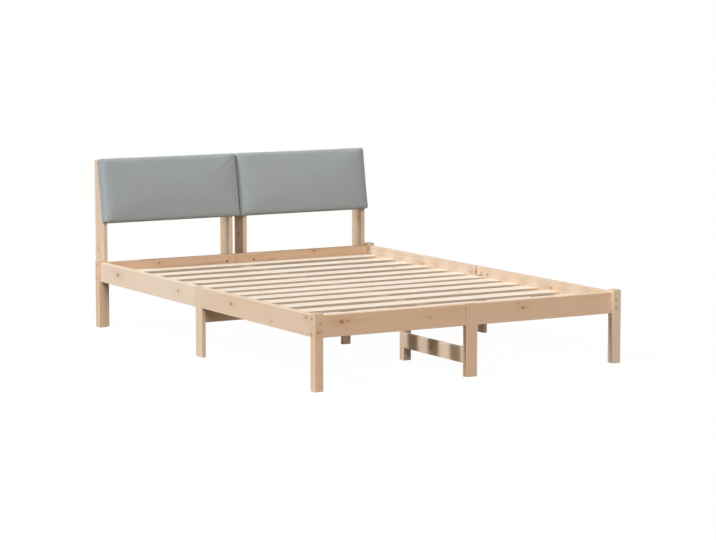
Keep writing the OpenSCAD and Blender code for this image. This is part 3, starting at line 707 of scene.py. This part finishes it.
def grain_attributes(piece, node):
    """Gives a board its own grain: place in the tree, knots, tone, sawn ends, eased edges, and painted
    shade on shaded faces.
    """
    pick = random.Random("grain of " + node)
    points = corners(piece)
    along, wide, thick = board_axes(points)
    middle = (points.max(0) + points.min(0)) / 2
    size = points.max(0) - points.min(0)
    board = (points - middle)[:, [along, wide, thick]]
    shift = np.array([pick.uniform(0, 9) for _ in range(3)])
    turn = pick.choice((-1, 1))
    put_attribute(piece, "grain", board * (turn, 1, 1) + shift)
    aside = pick.uniform(*PITH_ASIDE) * size[wide]
    if node in LEGS:
        aside = pick.choice((-1, 1)) * pick.uniform(*LEG_PITH_ASIDE) * size[wide]
    beyond = turn * (size[thick] / 2 + pick.uniform(*PITH_BEYOND))
    lean_wide, lean_thick = pick.uniform(*PITH_LEAN_WIDE), pick.uniform(*PITH_LEAN_THICK)
    pith = np.stack([
        board[:, 1] - aside - lean_wide * board[:, 0],
        board[:, 2] - beyond - lean_thick * board[:, 0],
        np.zeros(len(board))], 1)
    put_attribute(piece, "pith", pith)
    knots = list(KNOTS.get(node, ())) + [NO_KNOT] * KNOT_SLOTS
    for slot, knot in enumerate(knots[:KNOT_SLOTS]):
        place_along, place_across, radius = knot[:3]
        across = thick if knot[3:] else wide
        offsets = np.stack([
            points[:, along] - place_along, points[:, across] - place_across,
            np.full(len(points), radius)], 1)
        put_attribute(piece, "knot_%d" % slot, offsets)
    low_tone, high_tone = next((low, high) for names, low, high in TONES_AND_SHADE if node in names)
    put_attribute(piece, "tone", np.full(len(points), pick.uniform(low_tone, high_tone)))
    # Painted shade: the planed faces of the shaded boards are darkened like sawn ends
    board_shade = PAINTED_SHADE.get(node, 0.0)
    # Painted shade: the slats' narrow faces are darkened for the shade between the slats
    edge = SLAT_GAP_SHADE if node in SLATS else board_shade
    ends, eased = [], []
    for face in piece.data.polygons:
        normal = np.abs(np.array(face.normal))
        ends.append(1.0 if normal[along] > FACING else edge if normal[wide] > FACING else board_shade)
        eased.append(1.0 if LEANING < normal[along] < SQUARE or normal.max() < SQUARE else 0.0)
    # Sawn ends, and painted shade on the faces of shaded boards and the slats' narrow faces
    put_attribute(piece, "sawn_end_and_shade", ends, "FACE")
    put_attribute(piece, "eased", eased, "FACE")


def make_board(context, node, finish):
    """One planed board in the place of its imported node."""
    wood = context.scene.bed_wood
    piece = copy_of_node(node, "planed_" + node)
    along = board_axes(corners(piece))[0]
    ease_edges(piece, along, wood.ease, wood.end_ease)
    grain_attributes(piece, node)
    dress(piece, material(finish, context))
    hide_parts(node)
    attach(piece, "root")


class BED_OT_legs(Operator):
    """Make the corner legs and the mid legs"""
    bl_idname = "bed.legs"
    bl_label = "Legs"

    def execute(self, context):
        for node in LEGS + END_MIDS:
            make_board(context, node, "pine")
        for node in SIDE_MIDS:
            make_board(context, node, "pine")
        return {"FINISHED"}


class BED_OT_rails(Operator):
    """Make the eight halves of the rails"""
    bl_idname = "bed.rails"
    bl_label = "Rails"

    def execute(self, context):
        for node in SIDE_RAILS + END_RAILS:
            make_board(context, node, "pale_pine" if node == PALE_RAIL else "pine")
        return {"FINISHED"}


class BED_OT_slats(Operator):
    """Make the slats"""
    bl_idname = "bed.slats"
    bl_label = "Slats"

    def execute(self, context):
        for node in SLATS:
            make_board(context, node, "pale_pine")
        return {"FINISHED"}


class BED_OT_posts(Operator):
    """Make the posts of the headboard"""
    bl_idname = "bed.posts"
    bl_label = "Headboard posts"

    def execute(self, context):
        for node in POSTS:
            make_board(context, node, "pine")
        return {"FINISHED"}


class BED_OT_underframe(Operator):
    """Make the beams, props, planks and cleats under the slats"""
    bl_idname = "bed.underframe"
    bl_label = "Underframe"

    def execute(self, context):
        for node in UNDER:
            make_board(context, node, "pine")
        return {"FINISHED"}


# ---------------- cushions

def padded_block(width, length, depth, front_radius, voxel):
    """A block that reaches a little past Z = 0 at the back, with rounded corners and an even mesh."""
    spare = 0.012
    block = add_box((0, 0, depth / 2 - spare), (width, length, depth + 2 * spare))
    bpy.ops.object.mode_set(mode="EDIT")
    select_edges(block, lambda e: abs(e.verts[0].co.z - e.verts[1].co.z) > depth * 0.9)
    bpy.ops.mesh.bevel(offset=front_radius, segments=6, affect="EDGES")
    select_edges(block, lambda e: min(v.co.z for v in e.verts) > depth * 0.99)
    bpy.ops.mesh.bevel(offset=front_radius / 2, segments=4, affect="EDGES")
    bpy.ops.object.mode_set(mode="OBJECT")
    block.data.remesh_voxel_size = voxel
    block.data.remesh_voxel_adaptivity = 0
    bpy.ops.object.voxel_remesh()
    return block


def draw_sides_in(points, width, length, pull, depth):
    """Moves the sides in between the corners, more towards the front."""
    across = 2 * points[:, 0] / width
    up = 2 * points[:, 1] / length
    front = np.clip(points[:, 2] / depth, 0, 1) ** 0.7
    moved = points.copy()
    moved[:, 0] -= np.sign(across) * pull * (1 - np.clip(up ** 2, 0, 1)) * front * np.abs(across) ** 6
    moved[:, 1] -= np.sign(up) * pull * (1 - np.clip(across ** 2, 0, 1)) * front * np.abs(up) ** 6
    return moved


def round_rim(points, width, length, fall):
    """Lets the front fall away towards the rim on a wide, flat curve."""
    side_reach, end_reach, back = 0.045, 0.024, 0.016
    side = np.clip(1 - (width / 2 - np.abs(points[:, 0])) / side_reach, 0, 1)
    end = np.clip(1 - (length / 2 - np.abs(points[:, 1])) / end_reach, 0, 1)
    near = np.clip((side ** 3 + end ** 3) ** (1 / 3), 0, 1)
    moved = points.copy()
    upper = np.clip((points[:, 2] - back) / (points[:, 2].max() - back), 0, 1)
    moved[:, 2] -= fall * near ** 2.2 * upper
    return moved


def puckers(points, width, length, seed):
    """Slack and pulled places of the cloth round the rim, as heights along the front."""
    pick = random.Random(seed)
    waves = 26
    rise = np.zeros(len(points))
    for _ in range(waves):
        turn = pick.uniform(0, 2 * math.pi)
        wave = pick.uniform(22, 70) * math.pi
        rise += np.sin(points[:, 0] * wave * math.cos(turn) + points[:, 1] * wave * math.sin(turn)
                       + pick.uniform(0, 7)) / waves ** 0.5
    rim = np.maximum(np.abs(2 * points[:, 0] / width) ** 4, np.abs(2 * points[:, 1] / length) ** 3)
    return rise * (0.15 + 0.85 * rim)


def swell(context, block):
    """Blows the block up with a cloth simulation, its back held by the board."""
    cloth = context.scene.bed_cloth
    grip = 0.012
    before = corners(block)
    held = block.vertex_groups.new(name="held")
    pushed = block.vertex_groups.new(name="pushed")
    for vertex in block.data.vertices:
        hold = 1 - (vertex.co.z - grip) / grip
        if hold > 0:
            held.add([vertex.index], min(1.0, hold), "REPLACE")
        pushed.add([vertex.index], 1.0 if vertex.normal.z > 0.4 else 0.3, "REPLACE")
    activate(block)
    swelling = block.modifiers.new("padding", "CLOTH")
    adjust(swelling.settings, quality=6, mass=0.35, tension_stiffness=40, compression_stiffness=40,
           shear_stiffness=12, bending_stiffness=2.0, use_pressure=True,
           uniform_pressure_force=cloth.pressure, vertex_group_mass=held.name, pin_stiffness=1.0,
           vertex_group_pressure=pushed.name)
    swelling.settings.effector_weights.gravity = 0
    adjust(swelling.point_cache, frame_start=1, frame_end=cloth.frames)
    for step in range(1, cloth.frames + 1):
        context.scene.frame_set(step)
    bpy.ops.object.modifier_apply(modifier=swelling.name)
    context.scene.frame_set(1)
    block.vertex_groups.clear()
    moved = corners(block) - before
    far = np.linalg.norm(moved, axis=1)
    write_corners(block, before + moved * min(1, cloth.cap / far.max()))


def fit_depth(block, width, length, depth, belly):
    """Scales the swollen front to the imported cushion's depth and lets it hang to its lower half."""
    points = corners(block)
    rim = depth * 0.55
    front = points[:, 2] > rim
    points[front, 2] = rim + (points[front, 2] - rim) * (depth - rim) / (points[:, 2].max() - rim)
    # The fullest place, a little below the middle
    peak = -0.09 * length
    up = (points[:, 1] - peak) / (length / 2 - np.sign(points[:, 1] - peak) * peak)
    across = np.clip(1 - (2 * np.abs(points[:, 0]) / width) ** 4, 0, 1)
    back = 0.02
    forward = np.clip((points[:, 2] - back) / back, 0, 1)
    points[:, 2] += belly * np.clip(1 - up ** 2, 0, 1) * across * forward
    points[:, 0] *= np.minimum(1, width / 2 / np.abs(points[:, 0]).max())
    points[:, 1] *= np.minimum(1, length / 2 / np.abs(points[:, 1]).max())
    write_corners(block, points)


def cut_back(block, back, width, length):
    """Cuts the cushion flat at the back and takes the seat for its board out of it."""
    activate(block)
    bpy.ops.object.mode_set(mode="EDIT")
    bpy.ops.mesh.select_all(action="SELECT")
    bpy.ops.mesh.bisect(plane_co=(0, 0, back), plane_no=(0, 0, 1), use_fill=True, clear_inner=True)
    lip, seat, below = 0.003, 0.0122, 0.01
    cutter = add_box((0, 0, seat / 2 - below / 2), (width - 2 * lip, length - 2 * lip, seat + below))
    combine(block, cutter, "DIFFERENCE", "MANIFOLD")


class BED_OT_cushions(Operator):
    """Make the two cushions, swollen by a cloth simulation, each with the seat for its board"""
    bl_idname = "bed.cushions"
    bl_label = "Cushions"

    def execute(self, context):
        cloth = context.scene.bed_cloth
        # Room for the swelling at the sides and in front, and the height of the puckers
        side_room, front_room, pucker = 0.001, 0.005, 0.0006
        for node in CUSHIONS:
            shape = np.array([LEAN.inverted() @ v.co for v in NODES[node].data.vertices])
            low, high = shape.min(0), shape.max(0)
            width, length, depth = high - low
            front = depth * 0.6
            block = padded_block(
                width - side_room, length - side_room, depth - front_room, cloth.front, cloth.voxel)
            points = draw_sides_in(corners(block), width, length, cloth.pull, depth)
            points = round_rim(points, width, length, cloth.fall)
            points[:, 2] += pucker * puckers(points, width, length, node) * (points[:, 2] > front)
            write_corners(block, points)
            swell(context, block)
            apply_modifier(block, "SUBSURF", levels=1, render_levels=1)
            fit_depth(block, width, length, depth - cloth.belly / 2, cloth.belly)
            cut_back(block, low[2], width, length)
            block.name = "soft_" + node
            block.data.name = block.name
            put_attribute(block, "weave", corners(block))
            middle = (low + high) / 2
            block.matrix_world = LEAN @ Matrix.Translation((middle[0], middle[1], 0))
            activate(block)
            apply_place()
            bpy.ops.object.shade_smooth_by_angle(angle=math.radians(50))
            dress(block, material("cloth", context))
            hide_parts(node)
            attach(block, "root")
        return {"FINISHED"}


class BED_OT_boards(Operator):
    """Make the plywood boards inside the cushions"""
    bl_idname = "bed.boards"
    bl_label = "Boards"

    def execute(self, context):
        for node in BOARDS:
            make_board(context, node, "plywood")
        return {"FINISHED"}


# ---------------- fixings

def heads(piece):
    """For each loose fixing of a piece: the middle of its head's face, and the way it faces."""
    flat = 0.0003
    mesh = piece.data
    group = list(range(len(mesh.vertices)))

    def root(number):
        while group[number] != number:
            group[number] = group[group[number]]
            number = group[number]
        return number

    for edge in mesh.edges:
        first, second = (root(v) for v in edge.vertices)
        if first != second:
            group[first] = second
    parts = {}
    for vertex in mesh.vertices:
        parts.setdefault(root(vertex.index), []).append(vertex.co[:])
    found = []
    for part in parts.values():
        part = np.array(part)
        low, high = part.min(0), part.max(0)
        axis = int(np.argmax(high - low))
        centre = (low + high) / 2
        spread = []
        for level in (low[axis], high[axis]):
            ring = part[np.abs(part[:, axis] - level) < flat]
            offset = np.delete(ring - centre, axis, 1)
            spread.append(np.linalg.norm(offset, axis=1).max())
        side = int(spread[1] > spread[0])
        way = np.zeros(3)
        way[axis] = 1 if side else -1
        face = centre.copy()
        face[axis] = high[axis] if side else low[axis]
        found.append((Vector(face), Vector(way)))
    return sorted(found, key=lambda item: tuple(round(c, 4) for c in item[0]))


def repeat(pattern, places):
    """Copies of the pattern as one object, each with its Z axis the way a head faces."""
    points = corners(pattern)
    rings = [tuple(face.vertices) for face in pattern.data.polygons]
    many, faces = [], []
    for number, (middle, way) in enumerate(places):
        turn = np.array(way.to_track_quat("Z", "Y").to_matrix())
        many.append(points @ turn.T + np.array(middle))
        faces += [tuple(v + number * len(points) for v in ring) for ring in rings]
    mesh = bpy.data.meshes.new("tools")
    mesh.from_pydata(np.concatenate(many).tolist(), [], faces)
    bpy.data.objects.remove(pattern)
    return add_object("tools", mesh)


def fixing(context, node, rim, recess=None, finish="zinc"):
    """The fixings of one node with broken rims and, where a tool is given, a recess for it in each head."""
    piece = copy_of_node(node, "fitted_" + node)
    places = heads(piece)
    sharp = math.radians(50)
    weights = [float(fold is not None and fold > sharp) for fold in folds(piece.data)]
    bevel_edges(piece, weights, width=rim, segments=2)
    if recess:
        combine(piece, repeat(recess(context), places), "DIFFERENCE", "MANIFOLD")
    activate(piece)
    bpy.ops.object.shade_smooth_by_angle(angle=math.radians(35))
    dress(piece, material(finish, context))
    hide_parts(node)
    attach(piece, "root")


def hexagon_tool(context):
    """The space of a hexagon key, down from Z = 0."""
    height, middle = 0.0035, -0.00025
    radius = context.scene.bed_metal.socket / 3 ** 0.5
    deselect()
    bpy.ops.mesh.primitive_cylinder_add(vertices=6, radius=radius, depth=height, location=(0, 0, middle))
    apply_place()
    return context.object


def cross_tool(context):
    """The space of a cross-head driver, down from Z = 0."""
    long, thin, high, taper = 0.0036, 0.0008, 0.0022, 0.0007
    tool = add_box((0, 0, 0), (long, thin, high))
    bpy.ops.object.mode_set(mode="EDIT")
    select_edges(tool, lambda e: max(v.co.z for v in e.verts) < 0
                 and abs(e.verts[0].co.x - e.verts[1].co.x) < 0.0001)
    bpy.ops.mesh.bevel(offset=taper, segments=1, affect="EDGES")
    combine(tool, add_box((0, 0, 0), (thin, long, high)), "UNION", "EXACT")
    return tool


class BED_OT_bolts(Operator):
    """Make the corner bolts with hexagon sockets and the barrel nuts"""
    bl_idname = "bed.bolts"
    bl_label = "Bolts and barrel nuts"

    def execute(self, context):
        fixing(context, "corner_bolts", 0.0007, hexagon_tool)
        # The barrel nuts take the zinc darkened as painted shade
        fixing(context, "barrel_nuts", 0.0004, finish="shaded_zinc")
        for node in HIDDEN_STEEL:
            dress(NODES[node], material("zinc", context))
        dress(NODES["wood_dowels"], material("beech", context))
        return {"FINISHED"}


class BED_OT_screws(Operator):
    """Make the screws of the slats, cleats, posts and brackets"""
    bl_idname = "bed.screws"
    bl_label = "Screws"

    def execute(self, context):
        for node in ("slat_screws", "cleat_screws", "post_screws", "bracket_screws"):
            fixing(context, node, 0.00015, cross_tool)
        return {"FINISHED"}


class BED_OT_brackets(Operator):
    """Make the angle brackets with broken edges"""
    bl_idname = "bed.brackets"
    bl_label = "Angle brackets"

    def execute(self, context):
        fixing(context, "angle_brackets", 0.0005)
        return {"FINISHED"}


# ---------------- stage

WHITE = (1.0, 1.0, 1.0)
FLOOR_COLOUR = (0.24, 0.20, 0.155)
# Strength of the white that the camera sees on the floor, and its share of what it sees
FLOOR_WHITE, FLOOR_SHARE = 1.09, 0.90
# Sizes of the stage in metres, and the width of the camera's sensor in millimetres
FLOOR_SIZE, LAMP_DISTANCE, VIEW_DEPTH, SENSOR = 400, 8, 500, 36


class BED_OT_stage(Operator):
    """Make the floor, the room light, the lamps and the camera"""
    bl_idname = "bed.stage"
    bl_label = "Stage"

    def execute(self, context):
        stage = context.scene.bed_stage
        deselect()
        bpy.ops.mesh.primitive_plane_add(size=FLOOR_SIZE, location=(0, 0, 0))
        floor = context.object
        floor.name = "floor"
        paper = Shader("floor_paper")
        paper.set(Base_Color=(*FLOOR_COLOUR, 1), Roughness=0.9, Specular_IOR_Level=0.0)
        white = paper.glow("ShaderNodeEmission", WHITE, FLOOR_WHITE)
        paper.show(paper.output, paper.surface, white, FLOOR_SHARE, "Is Glossy Ray", "Is Transmission Ray")
        dress(floor, paper.material)

        world = bpy.data.worlds.new("room")
        context.scene.world = world
        air = Nodes(world)
        room = air.glow("ShaderNodeBackground", stage.sky_tint, stage.sky)
        white = air.glow("ShaderNodeBackground", WHITE, 1.0)
        air.show(air.node("ShaderNodeOutputWorld"), room, white, 1.0, "Is Glossy Ray")

        for name, way, strength, softness, tint in (
                ("key", stage.key_way, stage.key, stage.key_softness, WHITE),
                ("fill", stage.fill_way, stage.fill, stage.fill_softness, stage.fill_tint)):
            lamp = add_object(name, adjust(
                bpy.data.lights.new(name, "SUN"), energy=strength * math.pi, angle=softness, color=tint))
            lamp.location = LAMP_DISTANCE * Vector(way).normalized()
            lamp.rotation_euler = (-Vector(way)).to_track_quat("-Z", "Y").to_euler()

        camera = add_object("camera", adjust(
            bpy.data.cameras.new("camera"), sensor_width=SENSOR, lens=stage.lens, clip_end=VIEW_DEPTH))
        camera.location = stage.camera_place
        camera.rotation_euler = (math.pi / 2 - stage.camera_pitch, 0, -stage.camera_yaw)
        context.scene.camera = camera
        context.scene.view_settings.view_transform = "Standard"
        return {"FINISHED"}


# ---------------- add-on

class BED_PT_panel(Panel):
    """Sizes, colours and pieces of the bed frame"""
    bl_idname = "BED_PT_panel"
    bl_label = "Bed frame"
    bl_space_type = "VIEW_3D"
    bl_region_type = "UI"
    bl_category = "Bed frame"

    def draw(self, context):
        for group in SETTINGS:
            box = self.layout.box()
            box.label(text=group[4:].capitalize())
            settings = getattr(context.scene, group)
            for name in settings.__annotations__:
                box.prop(settings, name)
        for operator in PIECES:
            self.layout.operator(operator.bl_idname)


SETTINGS = {
    "bed_wood": WoodSettings, "bed_cloth": ClothSettings,
    "bed_metal": MetalSettings, "bed_stage": StageSettings,
}
PIECES = (
    BED_OT_stage, BED_OT_rails, BED_OT_legs, BED_OT_slats, BED_OT_posts, BED_OT_underframe, BED_OT_boards,
    BED_OT_cushions, BED_OT_bolts, BED_OT_screws, BED_OT_brackets,
)
CLASSES = (*SETTINGS.values(), *PIECES, BED_PT_panel)


def register():
    for cls in CLASSES:
        bpy.utils.register_class(cls)
    for name, cls in SETTINGS.items():
        setattr(bpy.types.Scene, name, PointerProperty(type=cls))


def unregister():
    for name in SETTINGS:
        delattr(bpy.types.Scene, name)
    for cls in reversed(CLASSES):
        bpy.utils.unregister_class(cls)


def main():
    register()
    for operator in PIECES:
        group, name = operator.bl_idname.split(".")
        getattr(getattr(bpy.ops, group), name)()
    bpy.context.view_layer.update()


if __name__ == "__main__":
    main()
